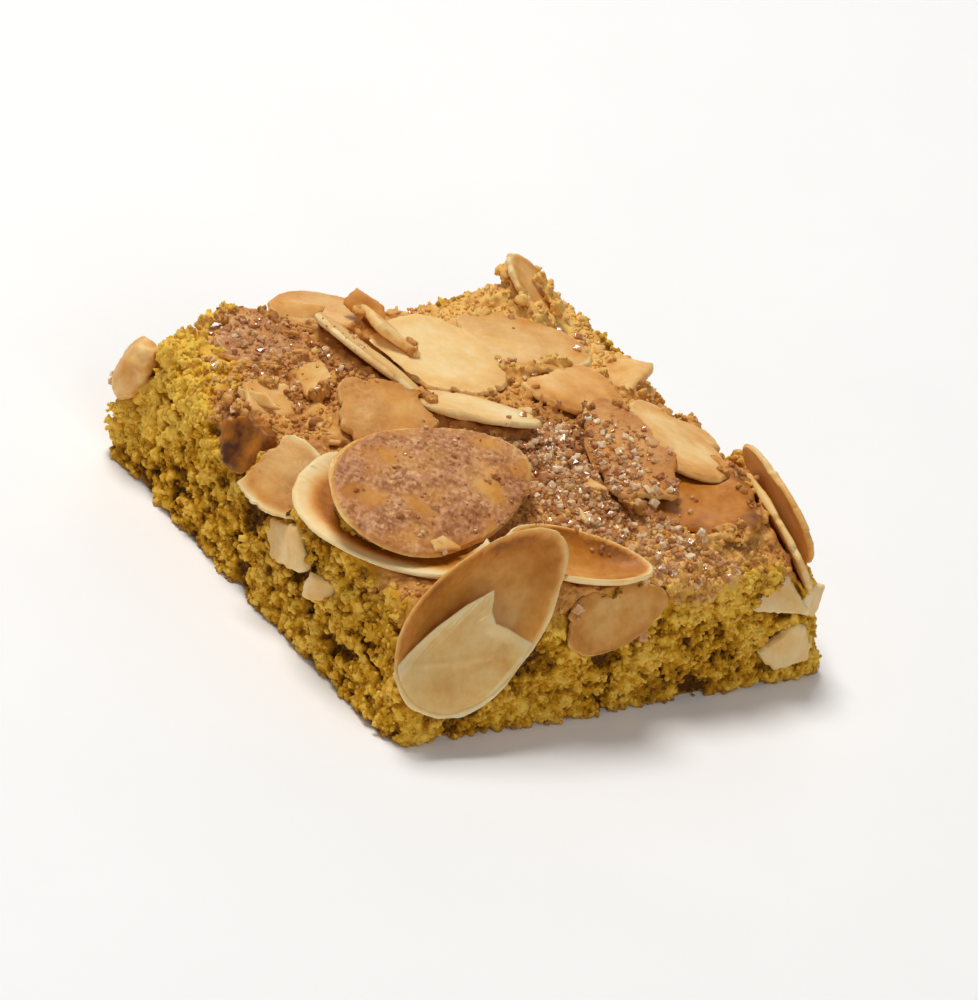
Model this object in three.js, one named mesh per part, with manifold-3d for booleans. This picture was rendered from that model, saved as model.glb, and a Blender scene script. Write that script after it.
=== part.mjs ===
// Square almond biscuit: a slab of coarse yellow dough, baked under flaked almonds.
// Millimetres, +Z up. The origin is the middle of the flat underside, and the sides face X and Y.
import * as THREE from 'three';
import { ImprovedNoise } from 'three/addons/math/ImprovedNoise.js';
import { mergeVertices } from 'three/addons/utils/BufferGeometryUtils.js';
import Module from 'manifold-3d';

const wasm = await Module();
wasm.setup();

const { degToRad, lerp, smoothstep } = THREE.MathUtils;

// Driving dimensions of the dough slab
const SIDE = 50;
const EDGE_HEIGHT = 13.6;
const DOME = 1.3;
const CORNER_POWER = 36; // a superellipse of this power rounds the slab's plan
const TAPER = 0.8; // how far each side leans in between the base and the top
const EDGE_DROP = 1.4; // how far the top falls at its crumbled rim
const EDGE_DROP_POWER = 10; // the higher, the narrower the fallen rim

// How far each top corner is worn back, seen from above: [x sign, y sign, wear]
const WEAR_POWER = 5; // the higher, the closer the wear keeps to the corner
const WORN_CORNERS = [
  [1, -1, 2.4],
  [1, 1, 3.8],
  [-1, -1, 1.2],
  [-1, 1, 1.6],
];

// Swells and sags of the top: [x, y, radius, height]
const SWELLS = [
  [-17, 15, 6, 1.0],
  [12, 1, 7, 0.6],
  [-2, 25, 20, -1.6],
  [-19, -22, 6, 0.5],
];

// Crags of the dough: the size of the lumps and how far they stand out
const LUMP = 4.4;
const LUMP_WEIGHTS = [0.65, 0.45]; // of the lumps, and of the lumps half their size on them
const LUMP_SHIFT = new THREE.Vector3(7.3, 2.1, 4.7); // picks one part of the endless noise
const SIDE_RELIEF = 0.85;
const SIDE_POWER = 12; // the higher, the closer the side's crags keep to the side
const BASE_FADE = 0.25; // share of the height over which the crags fade to the flat base
const TOP_RELIEF = 0.7;
const TOP_POWER = 6;

// Mesh of the dough: cells along a side and up its height
const CELLS = 29;
const LAYERS = 8;

// Almond flakes: thin slices of whole almonds
const THICKNESS = 0.95;
const TIP = 0.24; // how much narrower the pointed half is
const RAGGED = 0.05; // how uneven its outline is
const RIM = [
  [0.6, 1],
  [0.96, 0.88],
]; // its section between the flat middle and the edge: [share of radius, share of half thickness]
const BREAK_SLANT = 0.2; // how far a break leans from square across the slice
const FLAKE_SEGMENTS = 16;
const BIT_SEGMENTS = 8;
const GAP = 0.3; // clearance between a flake and what it touches
const NEAR = 1e-3; // differences below this are rounding

// The dough follows the plane of a flake out to this share of the flake's outline, and within
// this distance of its plane; both fade from the first number to the second
const BED_REACH = [0.55, 1];
const BED_DEPTH = [4, 7];

// Colours
const DOUGH = 0xb98a35;
const CREAM = 0xe6c48d;
const GOLD = 0xd9a766;
const TOAST = 0xb98052;

// Large flakes, each a slice stuck to the top, upper ones first. at is its middle, and turn is
// the heading of its tip, how far the tip points up and how far the slice banks, in degrees.
// size is its length and width. Where it has them, dish is the depth of its hollow, left is the
// share of its length that a break has left, and chip marks a slice that lies where the dough's
// edge has broken off, and says how far round its outline the break goes.
const FLAKES = [
  { at: [22.2, -17.2, 11.3], turn: [102, 42, 59], size: [20.8, 12.2], dish: 3, chip: 1.6, colour: CREAM },
  { at: [10.6, -15.6, 17.6], turn: [96, 5, 17], size: [22, 14], dish: -0.6, colour: TOAST },
  { at: [11.2, -19.6, 14.3], turn: [22, 0, 14], size: [21, 12.5], dish: 1.3, colour: CREAM },
  { at: [21.1, -6.2, 14.7], turn: [66, -5, 6], size: [14.6, 7.4], dish: 1.8, colour: GOLD },
  { at: [24.1, -2.4, 10.3], turn: [97, 5, 68], size: [12.8, 6.3], left: 0.95, chip: 1.5, colour: GOLD },
  { at: [16.1, 21.2, 14.1], turn: [182, 20, 64], size: [13.6, 7.5], chip: 1, colour: GOLD },
  { at: [18.5, 20.0, 12.4], turn: [179, 19, 56], size: [14, 8], colour: CREAM },
  { at: [8.2, 8.4, 16.2], turn: [165, 4, -8], size: [17, 8], left: 0.9, colour: TOAST },
  { at: [6.6, 15.4, 15.5], turn: [176, 0, 10], size: [14, 8], colour: GOLD },
  { at: [-3.4, 10.8, 15.4], turn: [17, 3, 4], size: [11, 8], left: 0.8, colour: TOAST },
  { at: [-12.4, -7.0, 15.8], turn: [10, -2, -30], size: [15, 7], colour: GOLD },
  { at: [-1.7, -2.0, 16.0], turn: [52, 2, -12], size: [12.5, 6], colour: CREAM },
  { at: [-11.6, 0.6, 15.2], turn: [29, 0, 6], size: [14, 11], colour: CREAM },
  { at: [-3.4, -11.6, 15.8], turn: [84, 2, 16], size: [12, 9], left: 0.85, colour: GOLD },
  { at: [0.4, -23.8, 12.8], turn: [24, -6, 44], size: [10.5, 7.5], left: 0.8, chip: 1.2, colour: GOLD },
  { at: [-19.6, -15.0, 14.3], turn: [49, 2, 6], size: [11, 8.5], left: 0.8, colour: GOLD },
  { at: [-21.6, -4.6, 14.4], turn: [60, 2, -6], size: [13, 8], colour: GOLD },
  { at: [-18.8, 16.6, 16.1], turn: [-138, 38, 2], size: [9.2, 7], left: 0.85, colour: GOLD },
  { at: [15.2, 13.6, 14.8], turn: [138, 4, -4], size: [14, 10], left: 0.9, colour: GOLD },
  { at: [-12.2, 10.6, 15.0], turn: [62, 0, 0], size: [14, 10.5], colour: GOLD },
];

// Small broken bits that are baked into the dough, described as the flakes are
const BITS = [
  { at: [4.4, -25.0, 8.4], turn: [-8, 0, 84], size: [7, 5.4] },
  { at: [-7.2, -24.0, 12.4], turn: [12, 0, 64], size: [5.6, 5] },
  { at: [-24.2, -24.5, 9.4], turn: [45, 75, 0], size: [6.2, 4.2], thick: 3 },
  { at: [10.0, -25.0, 7.4], turn: [50, 0, 84], size: [3.8, 2.6] },
  { at: [23.4, 16.6, 9.4], turn: [60, 0, 66], size: [6.4, 4.4] },
  { at: [25.0, 18.8, 3.8], turn: [88, 0, 84], size: [6, 4.6] },
  { at: [23.8, 21.2, 8.2], turn: [110, 0, 80], size: [5.4, 3.6] },
  { at: [-16.2, -2.6, 15.8], turn: [6, 0, -34], size: [7.4, 4] },
  { at: [-10.4, -19.8, 13.8], turn: [60, 0, 18], size: [6.6, 4.4] },
  { at: [-11.0, -14.4, 14.8], turn: [-30, 0, 24], size: [6, 4] },
  { at: [1.6, 20.4, 12.9], turn: [20, 0, -12], size: [7, 5] },
  { at: [-7.6, 20.4, 13.0], turn: [150, 0, -14], size: [7.4, 5.4] },
];

// Bits that show at the two far sides: how many on each side, how far they keep from its ends
// and sink into it, and the ranges of the rest
const FAR_BITS = 5;
const FAR_BIT_MARGIN = 4;
const FAR_BIT_SINK = 0.4;
const FAR_BIT_SHIFT = [0.25, 0.75]; // place of a bit in its share of the side
const FAR_BIT_HEIGHT = [4, 10.5];
const FAR_BIT_LENGTH = [4, 7];
const FAR_BIT_WIDTH = 0.7; // share of the length
const FAR_BIT_SWING = [-8, 8]; // degrees from lying along the side
const FAR_BIT_PITCH = [-40, 40];
const FAR_BIT_BANK = 86;
const GOLDEN = (Math.sqrt(5) - 1) / 2;

const noise = new ImprovedNoise();

/** Smooth lumps of about the given size at a point, from -1 to 1. */
function lumps(point, size) {
  const { x, y, z } = point.clone().divideScalar(size).add(LUMP_SHIFT);
  return noise.noise(x, y, z);
}

/** Coarse crumb: lumps with smaller lumps on them. */
function crumb(point) {
  return LUMP_WEIGHTS[0] * lumps(point, LUMP) + LUMP_WEIGHTS[1] * lumps(point, LUMP / 2);
}

/** Moves one point of a plain box, whose base is at z = 0, to its place on the dough slab. */
function shapeDough(point) {
  const half = SIDE / 2;
  const u = point.x / half;
  const v = point.y / half;
  const level = point.z < NEAR ? 0 : point.z / EDGE_HEIGHT;
  const reach = Math.max(Math.abs(u), Math.abs(v));

  // Underside: flat, so all the points inside its edge meet in the middle
  if (level === 0 && reach < 1 - NEAR) {
    point.set(0, 0, 0);
    return;
  }

  // Plan: a rounded square that leans in a little, with its top corners worn back
  const power = (Math.abs(u) ** CORNER_POWER + Math.abs(v) ** CORNER_POWER) ** (1 / CORNER_POWER);
  const scale = (reach > 0 ? reach / power : 1) * (1 - (TAPER * level) / half);
  point.x = u * half * scale;
  point.y = v * half * scale;
  for (const [signX, signY, wear] of WORN_CORNERS) {
    const corner = Math.max(0, u * signX) * Math.max(0, v * signY);
    const back = wear * level * corner ** WEAR_POWER * Math.SQRT1_2;
    point.x -= signX * back;
    point.y -= signY * back;
  }

  // Height: domed towards the middle, fallen at the rim, with swells and sags
  let height = EDGE_HEIGHT + DOME * (1 - u * u) * (1 - v * v) - EDGE_DROP * reach ** EDGE_DROP_POWER;
  for (const [x, y, radius, rise] of SWELLS) {
    const away = Math.hypot(point.x - x, point.y - y) / radius;
    height += rise * (1 - smoothstep(away, 0, 1));
  }
  point.z = level * height;

  // Crags: sideways on the sides, upwards on the top, none at the base
  const rough = crumb(point);
  const side = reach ** SIDE_POWER * smoothstep(level, 0, BASE_FADE) * SIDE_RELIEF * rough;
  const outX = Math.sign(u) * Math.abs(u) ** (CORNER_POWER - 1);
  const outY = Math.sign(v) * Math.abs(v) ** (CORNER_POWER - 1);
  const length = Math.hypot(outX, outY) || 1;
  point.x += (side * outX) / length;
  point.y += (side * outY) / length;
  point.z += level ** TOP_POWER * TOP_RELIEF * rough;

  // Beds: the dough takes up the planes of the flakes, the lowest flake first
  if (level > 0) FLAKES.toReversed().forEach((flake) => settle(point, flake));
}

/** Draws a point of the dough towards the plane of a flake that is stuck to it there. */
function settle(point, { at, turn, size: [length, width], chip }) {
  const { matrix } = pose(new THREE.Mesh(), { at, turn });
  const local = point.clone().applyMatrix4(matrix.clone().invert());
  if (chip && local.z < 0) return;
  const reach = Math.hypot((2 * local.x) / length, (2 * local.y) / width) / (chip ?? 1);
  const near = 1 - smoothstep(Math.abs(local.z), ...BED_DEPTH);
  local.z *= 1 - near * (1 - smoothstep(reach, ...BED_REACH));
  point.copy(local.applyMatrix4(matrix));
}

/** The dough slab without its almonds. */
function doughGeometry() {
  const geometry = new THREE.BoxGeometry(SIDE, SIDE, EDGE_HEIGHT, CELLS, CELLS, LAYERS);
  geometry.translate(0, 0, EDGE_HEIGHT / 2);
  reshape(geometry, shapeDough);
  return geometry;
}

/** A slice of almond in the XY plane, its tip towards +X and its upper face towards +Z. */
function flakeGeometry({ size: [length, width], thick = THICKNESS, dish = 0, left = 1 }, segments, grow = 0) {
  const half = thick / 2 + grow;
  const below = [[0, 1], ...RIM].map(([radius, height]) => new THREE.Vector2(radius, -height * half));
  const above = below.toReversed().map(({ x, y }) => new THREE.Vector2(x, -y));
  const geometry = new THREE.LatheGeometry([...below, new THREE.Vector2(1, 0), ...above], segments);
  geometry.rotateX(Math.PI / 2);
  const seed = Math.PI * length + width; // slices of other sizes get other outlines
  const breakAt = length * (0.5 - left) - grow;
  reshape(geometry, (point) => {
    const around = Math.atan2(point.y, point.x);
    const narrow = 1 - TIP * Math.cos(around) * Math.hypot(point.x, point.y);
    const ragged = 1 + RAGGED * noise.noise(seed, 2 * Math.cos(around), 2 * Math.sin(around));
    point.x *= ragged * (length / 2 + grow);
    point.y *= ragged * (width / 2 + grow);
    const reach = Math.hypot((2 * point.x) / length, (2 * point.y) / width);
    point.y *= narrow;
    point.x = Math.max(point.x, breakAt + BREAK_SLANT * point.y);
    point.z += dish * (reach * reach - 0.5);
  });
  return geometry;
}

/** Applies a change to every vertex of a geometry. */
function reshape(geometry, change) {
  const places = geometry.getAttribute('position');
  const point = new THREE.Vector3();
  for (let i = 0; i < places.count; i++) {
    point.fromBufferAttribute(places, i);
    change(point);
    places.setXYZ(i, point.x, point.y, point.z);
  }
}

/** Sets a mesh at a flake's place and attitude. */
function pose(mesh, { at, turn: [heading, pitch, bank] }) {
  mesh.position.set(...at);
  mesh.rotation.set(degToRad(bank), degToRad(-pitch), degToRad(heading), 'ZYX');
  mesh.updateMatrix();
  return mesh;
}

/** A flake or bit as a solid in its place, grown all round by a clearance. */
function placedSlice(slice, segments, grow = 0) {
  return solidOf(flakeGeometry(slice, segments, grow), pose(new THREE.Mesh(), slice).matrix);
}

/** A closed geometry as a solid, moved by a matrix. */
function solidOf(geometry, matrix = new THREE.Matrix4()) {
  const bare = geometry.clone().applyMatrix4(matrix);
  bare.deleteAttribute('normal');
  bare.deleteAttribute('uv');
  const merged = mergeVertices(bare, NEAR / 10);
  const corners = merged.index.array;
  const triVerts = [];
  for (let i = 0; i < corners.length; i += 3) {
    const [a, b, c] = corners.slice(i, i + 3);
    if (a !== b && b !== c && c !== a) triVerts.push(a, b, c);
  }
  return new wasm.Manifold(
    new wasm.Mesh({
      numProp: 3,
      vertProperties: merged.getAttribute('position').array,
      triVerts: new Uint32Array(triVerts),
    }),
  );
}

/** The largest piece of a solid, so that a cut leaves no loose scrap. */
function largest(solid) {
  return solid.decompose().reduce((a, b) => (a.volume() > b.volume() ? a : b));
}

/** A solid as a geometry, moved by a matrix. */
function geometryOf(solid, matrix = new THREE.Matrix4()) {
  const { vertProperties, triVerts } = solid.getMesh();
  const geometry = new THREE.BufferGeometry();
  geometry.setAttribute('position', new THREE.BufferAttribute(vertProperties, 3));
  geometry.setIndex(new THREE.BufferAttribute(triVerts, 1));
  geometry.applyMatrix4(matrix);
  geometry.computeVertexNormals();
  return geometry;
}

/** Bits in the two sides that face -X and +Y, spread evenly, each with its own share of every range. */
function farBits() {
  const out = SIDE / 2 - FAR_BIT_SINK;
  let draws = 0;
  const between = ([low, high]) => lerp(low, high, (++draws * GOLDEN) % 1);
  return Array.from({ length: 2 * FAR_BITS }, (_, i) => {
    const facesX = i < FAR_BITS;
    const share = ((i % FAR_BITS) + between(FAR_BIT_SHIFT)) / FAR_BITS;
    const along = (share - 0.5) * (SIDE - 2 * FAR_BIT_MARGIN);
    const height = between(FAR_BIT_HEIGHT);
    const length = between(FAR_BIT_LENGTH);
    const heading = (facesX ? -90 : 180) + between(FAR_BIT_SWING);
    return {
      at: facesX ? [-out, along, height] : [along, out, height],
      turn: [heading, between(FAR_BIT_PITCH), FAR_BIT_BANK],
      size: [length, length * FAR_BIT_WIDTH],
    };
  });
}

/** The large flakes as meshes, each trimmed clear of those before it in the list. */
function makeFlakes() {
  const taken = [];
  return FLAKES.map((flake, i) => {
    const mesh = pose(new THREE.Mesh(), flake);
    let solid = placedSlice(flake, FLAKE_SEGMENTS);
    for (const other of taken) {
      if (solid.intersect(other).volume() > 0) solid = largest(solid.subtract(other));
    }
    taken.push(placedSlice(flake, FLAKE_SEGMENTS, GAP));
    mesh.geometry = geometryOf(solid, mesh.matrix.clone().invert());
    mesh.material = new THREE.MeshStandardMaterial({ color: flake.colour, roughness: 0.55 });
    mesh.name = `almond_flake_${String(i + 1).padStart(2, '0')}`;
    return mesh;
  });
}

/** The dough with its small bits, hollowed where the large flakes sit in it. */
function makeDough() {
  let solid = solidOf(doughGeometry());
  for (const bit of [...BITS, ...farBits()]) solid = solid.add(placedSlice(bit, BIT_SEGMENTS));
  for (const flake of FLAKES) solid = solid.subtract(placedSlice(flake, FLAKE_SEGMENTS, GAP));
  const material = new THREE.MeshStandardMaterial({ color: DOUGH, roughness: 0.85 });
  const mesh = new THREE.Mesh(geometryOf(largest(solid)), material);
  mesh.name = 'biscuit_dough';
  return mesh;
}

const biscuit = new THREE.Group();
biscuit.add(makeDough(), ...makeFlakes());

export default biscuit;
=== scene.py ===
"""Looks of the square almond biscuit: coarse yellow crumb, toasted almond slices and sugar."""
import math

import bmesh
import bpy
import numpy as np
from mathutils import Euler, Matrix, Vector, noise
from mathutils.bvhtree import BVHTree


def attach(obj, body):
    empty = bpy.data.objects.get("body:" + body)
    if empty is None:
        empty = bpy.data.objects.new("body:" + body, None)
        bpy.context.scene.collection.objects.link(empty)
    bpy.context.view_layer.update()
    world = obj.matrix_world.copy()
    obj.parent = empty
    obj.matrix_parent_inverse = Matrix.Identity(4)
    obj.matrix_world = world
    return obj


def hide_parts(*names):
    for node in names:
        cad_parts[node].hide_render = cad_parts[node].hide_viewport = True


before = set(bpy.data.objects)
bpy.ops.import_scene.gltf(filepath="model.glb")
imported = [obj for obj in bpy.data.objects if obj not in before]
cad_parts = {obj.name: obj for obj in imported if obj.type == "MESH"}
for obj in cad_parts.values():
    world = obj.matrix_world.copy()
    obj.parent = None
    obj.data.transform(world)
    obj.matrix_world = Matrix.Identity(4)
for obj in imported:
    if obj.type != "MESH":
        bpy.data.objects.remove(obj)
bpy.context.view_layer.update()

# Sizes are in millimetres, and the meshes in metres
MM = 0.001
MERGE = 1e-6
SEED = 7

# Dough: its side, and the size of its crumb
SIDE = 50
DOUGH_VOXEL = 0.17
DOUGH_TRIANGLES = 197_000
CORE_SINK = 0.55  # how far the solid lies under the clumps at the sides
TOP_SINK = 0.15
SIDE_CLUMPS = 15_000
SIDE_CLUMP_RADIUS = (0.24, 0.85)
TOP_CLUMPS = 3_600
TOP_CLUMP_RADIUS = (0.2, 0.75)
CREVICE_SIZE = (5, 5, 2.6)  # flatter than wide, as the dough was pressed in layers
CREVICE_LEVEL = -0.34
CRUMB_LIFT = 0.16  # height of the fine crumb on the skin
BLISTER_LIFT = 0.25
BASE_SKIN = 0.4  # height of the thin skin that the tray baked on
BASE_TOP = 0.2  # points of the solid under this height belong to its base
LOWEST_CRUMB = 0.15
SIDE_SLOPE = 0.75  # a side faces up or down by less than this
TOP_SLOPE = 0.6  # and the top faces up by more than this
CRUMB_GRAINS = 9_800
CRUMB_GRAIN_RADIUS = (0.12, 0.36)
CRUST_GRAINS = 8_500
CRUST_GRAIN_RADIUS = (0.1, 0.3)
BIT_CLEAR = 0.1  # how far the crumb and its core keep from the rims of the bits in it
CORE_CLEAR = 0.6  # how far from a slice the solid keeps its form
SIDE_CLEAR = 0.5  # how far the clumps at the sides keep from the slices
TOP_CLEAR = 0.3
FILL_CLEAR = 0.2
GRAIN_CLEAR = (0.5, 0.05)  # below a slice and above it

# How much commoner small ones are, and how far each is shrunk or stretched along its axes
CLUMP_SIZES = (2.8, (0.75, 1.2))
GRAIN_SIZES = (1.6, (0.7, 1.25))
CRUMB_SIZES = (2, (0.5, 1.4))
CRYSTAL_SIZES = (1.5, (0.65, 1.3))
CLUMP_SUNK = (0.3, 0.9)  # shares of the radius

# Dough that rose round the rims of the slices and bits that lie in it
RIM_CLUMPS = 1_200  # on a slice that is all covered
RIM_CLUMP_RADIUS = (0.15, 0.5)
RIM_CLUMP_REACH = 1.03  # share of the outline where they start
RIM_CLUMP_HEIGHT = (-0.5, 0.12)
RIM_CLUMP_RISE = 0.35  # how much higher they lie on the face

# Strips of dough between the two slices at the far right corner, round the foot of the one that
# stands at the back, and beside and under the corner chunk: both ends, spread and clumps of each
FILLS = [
    ((22, 20.4, 12), (12.5, 20.9, 15.2), 0.6, 280),
    ((-17, 18, 14.4), (-20.6, 15, 17.2), 0.7, 260),
    ((-22.6, -20.4, 13), (-19.6, -23.2, 13), 0.6, 170),
    ((-23.3, -23.5, 8.4), (-24.4, -24.4, 2.5), 0.55, 210),
]
FILL_RADIUS = (0.2, 0.8)

# Almond slices, as the solids have them
THICKNESS = 0.95
TIP = 0.24  # how much narrower a slice is towards its tip
FLAKE_SIDES = 16

# Their finer form: how far each face lies under that of the solid, how high its fine ridges and its
# waves are, and the fine and the broad bumps of brown sugar on it
FLAKE_VOXEL = 0.13
FLAKE_TRIANGLES = 7_500
FLAKE_WORN = 0.1
FLAKE_RIDGES = 0.02
FLAKE_WAVE = 0.2
COAT_BUMPS = (0.16, 0.22)

# Each large slice: its middle, its heading, pitch and bank in degrees, its length and width, the
# share of its length that a break has left, and its looks: lap is how far the crust laps over its
# rim, as a share of its outline, foot is how high it climbs on a slice that stands, tone runs from
# 0, cream, to 1, dark toast, side_shade is painted shade that makes its left half darker than its
# right, clouds is how unevenly it is toasted, rim is how much paler its edge is, partly its own
# colour and partly painted highlight, and band where that starts and ends, as shares of its
# outline, glaze is how much brown sugar coats it, chips is how deep its outline is chipped, and
# fine is how many triangles it takes
FLAKES = [
    dict(at=(22.2, -17.2, 11.3), turn=(102, 42, 59), size=(20.8, 12.2), lap=0,
         tone=0.5, side_shade=0.2, clouds=0.07, rim=0.42, band=(0.9, 0.99), chips=0.01),
    dict(at=(10.6, -15.6, 17.6), turn=(96, 5, 17), size=(22, 14), lap=0,
         tone=0.5, rim=0.35, glaze=1, chips=0.02, fine=36_000),
    # This slice's dark inside is partly painted shade in its hollow, under the slice above it
    dict(at=(11.2, -19.6, 14.3), turn=(22, 0, 14), size=(21, 12.5), lap=0,
         tone=0.74, clouds=0.1, rim=0.84, band=(0.68, 0.9), chips=0.02),
    dict(at=(21.1, -6.2, 14.7), turn=(66, -5, 6), size=(14.6, 7.4), lap=0,
         tone=0.63, side_shade=0.1, rim=0.6, band=(0.87, 0.96), chips=0.02),
    dict(at=(24.1, -2.4, 10.3), turn=(97, 5, 68), size=(12.8, 6.3), left=0.95, tone=0.45, chips=0.05),
    # This slice's pale tone is partly painted light, on a face that the lamps leave in shade
    dict(at=(16.1, 21.2, 14.1), turn=(182, 20, 64), size=(13.6, 7.5), lap=0,
         tone=0.22, rim=0.05, chips=0.09),
    dict(at=(18.5, 20, 12.4), turn=(179, 19, 56), size=(14, 8), lap=0, tone=0.36, rim=0.3),
    dict(at=(8.2, 8.4, 16.2), turn=(165, 4, -8), size=(17, 8), left=0.9, lap=0.15, tone=0.54, glaze=0.4),
    dict(at=(6.6, 15.4, 15.5), turn=(176, 0, 10), size=(14, 8), tone=0.3),
    dict(at=(-3.4, 10.8, 15.4), turn=(17, 3, 4), size=(11, 8), left=0.8, lap=0.2, tone=0.44),
    dict(at=(-12.4, -7, 15.8), turn=(10, -2, -30), size=(15, 7), lap=0.04, tone=0.24),
    dict(at=(-1.7, -2, 16), turn=(52, 2, -12), size=(12.5, 6), lap=0, tone=0.18),
    dict(at=(-11.6, 0.6, 15.2), turn=(29, 0, 6), size=(14, 11), tone=0.16, clouds=0.1, rim=0.1),
    dict(at=(-3.4, -11.6, 15.8), turn=(84, 2, 16), size=(12, 9), left=0.85, lap=0.2, tone=0.42, glaze=0.35),
    dict(at=(0.4, -23.8, 12.8), turn=(24, -6, 44), size=(10.5, 7.5), left=0.8, lap=0.2,
         tone=0.36, clouds=0.25, rim=0.5, band=(0.7, 0.97), glaze=0.4, chips=0.2),
    dict(at=(-19.6, -15, 14.3), turn=(49, 2, 6), size=(11, 8.5), left=0.8, lap=0.5, tone=0.5, glaze=0.9),
    dict(at=(-21.6, -4.6, 14.4), turn=(60, 2, -6), size=(13, 8), lap=0.3, tone=0.34, glaze=0.2),
    dict(at=(-18.8, 16.6, 16.1), turn=(-138, 38, 2), size=(9.2, 7), left=0.85, lap=0.5, foot=17,
         tone=0.44, rim=0.35, band=(0.8, 0.98), chips=0.25),
    dict(at=(15.2, 13.6, 14.8), turn=(138, 4, -4), size=(14, 10), left=0.9, lap=0.4, tone=0.68),
    dict(at=(-12.2, 10.6, 15), turn=(62, 0, 0), size=(14, 10.5), lap=0.25, tone=0.3, glaze=0.2),
]
LAP = 0.1
# Default paleness of a slice's edge, partly its own colour and partly painted highlight
RIM = 0.28
BAND = (0.93, 0.99)
CLOUDS = 0.18
CHIPS = 0.11
STREAK_TONE = 0.03
OUTER_SHADE = 0.14  # painted shade: how much darker a face is towards its rim, where the walls of its hollow lie in shade
END_TONE = 0.2  # how much one end may differ from the other

# Torn skin that spans the hollow of the front slice, in that slice's own frame: the skin's height
# over the slice's middle plane, how far out in the outline it reaches, how thick it is at its edge
# and inside, its torn edge from one side of the slice to the other, how far that curls up, and a
# fold in it
FILM_LEVEL = 0.45
FILM_REACH = 0.955
FILM_THICKNESS = (0.14, 0.6)
FILM_GRID = (160, 70)  # across and along
FILM_TONE = 0.28
FILM_EDGE_ACROSS = [-7, -5.5, -2.7, -1.5, -0.4, 0.5, 0.9, 1.9, 2.7, 3, 3.3, 7]
FILM_EDGE_ALONG = [2.1, 1.9, 1.2, 0.7, 1.2, 2.2, 2.7, -0.1, -3.3, -6.2, -8.5, -9.5]
FILM_CURL = 0.5
CREASE_ALONG = [-7.5, -4.5, -1.1, 1.7]
CREASE_ACROSS = [1.9, -1.2, -4, -5.3]

# Small broken bits that are baked into the dough, described alike; lumps is how uneven one is,
# rounded marks a chunk without broken edges, and clear is how far the crumb keeps from its rim
BITS = [
    dict(at=(4.4, -25, 8.4), turn=(-8, 0, 84), size=(7, 5.4), tone=0.24, lap=0.12),
    dict(at=(-7.2, -24, 12.4), turn=(12, 0, 64), size=(5.6, 5), thick=1.6, tone=0.92, lumps=0.4, lap=0),
    dict(at=(-24.2, -24.5, 9.4), turn=(45, 75, 0), size=(6.2, 4.2), thick=3, tone=0.4,
         rounded=True, lumps=0.3, clear=0.3, lap=0),
    dict(at=(10, -25, 7.4), turn=(50, 0, 84), size=(3.8, 2.6), tone=0.2),
    dict(at=(23.4, 16.6, 9.4), turn=(60, 0, 66), size=(6.4, 4.4), tone=0.14),
    dict(at=(25, 18.8, 3.8), turn=(88, 0, 84), size=(6, 4.6), tone=0.18),
    dict(at=(23.8, 21.2, 8.2), turn=(110, 0, 80), size=(5.4, 3.6), tone=0.1),
    dict(at=(-16.2, -2.6, 15.8), turn=(6, 0, -34), size=(7.4, 4), tone=0.3, lap=0.3),
    dict(at=(-10.4, -19.8, 13.8), turn=(60, 0, 18), size=(6.6, 4.4), tone=0.35, lap=0.25),
    dict(at=(-11, -14.4, 14.8), turn=(-30, 0, 24), size=(6, 4), tone=0.42, lap=0.4),
    dict(at=(1.6, 20.4, 12.9), turn=(20, 0, -12), size=(7, 5), tone=0.4, lap=0.3),
    dict(at=(-7.6, 20.4, 13), turn=(150, 0, -14), size=(7.4, 5.4), tone=0.34, lap=0.3),
]
BIT_VOXEL = 0.12
BIT_TRIANGLES = 1_500
BIT_LUMPS = 0.12
BIT_RAGGED = 0.07
BIT_CORE = 0.7  # the share of a bit's solid that is left under its finer form
ROUNDED_POWER = 0.7  # the less, the boxier a rounded chunk

# Bits that show at the two far sides, as the solids have them: how many on each, and the ranges of
# their place along it, height, length, swing and pitch
FAR_BITS = 5
FAR_BIT_MARGIN = 4
FAR_BIT_SINK = 0.4
FAR_BIT_RANGES = [(0.25, 0.75), (4, 10.5), (4, 7), (-8, 8), (-40, 40)]
FAR_BIT_WIDTH = 0.7
FAR_BIT_BANK = 86
FAR_BIT_LAP = 0.3
GOLDEN = (math.sqrt(5) - 1) / 2

# What lies on the top is dropped from this height
DROP = 40

# Slivers that lie on the top: x, y, heading, bank, length, width and tone, and how many more
SLIVERS = [
    (-10.2, -20.7, 24, 50, 4.4, 1.7, 0.35),
    (-7, -16.5, -35, 30, 4.6, 2.6, 0.42),
    (11.3, -1.9, 62, 20, 4.8, 1.8, 0.35),
    (-22, -9, 70, 25, 6, 3, 0.4),
    (-19.5, -3, 30, 40, 5, 2.4, 0.62),
    (16.8, -18.6, 80, 20, 3, 1.8, 0.4),
]
MORE_SLIVERS = 50
SLIVER_LENGTH = (1.3, 3.8)
SLIVER_WIDTH = (0.25, 0.55)  # shares of the length
SLIVER_THICKNESS = 0.45
SLIVER_BANK = 18  # how far they roll either way, in degrees
SLIVER_PITCH = 7
SLIVER_TONE = (0.25, 0.55)
SLIVER_TRIANGLES = 500
SLIVER_LEAST = (11, 0.4)  # the least height of what carries one, and how far that faces up

# Patches of the baked top: x, y, radius and how brown the crust is there, from 0, golden, to 1
TOP_PATCHES = [
    (-15.5, -14.5, 9, 0.45),
    (6, 3.5, 8, 1),
    (14, 0.5, 7, 0.65),
    (21.5, 7, 6, 0),
    # Below 0, this patch at the back left is painted lighter than golden crust, as painted light on slopes
    # that face away from the key lamp
    (-17, 15, 11, -0.4),
    (15, 16, 8, 0.45),
    (-1, 20, 8, 0.25),
]
TOP_BROWN = 0.42  # away from the patches
BARE_PATCH = (-19, -24, 6)  # x, y and radius where the top is open crumb

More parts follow.
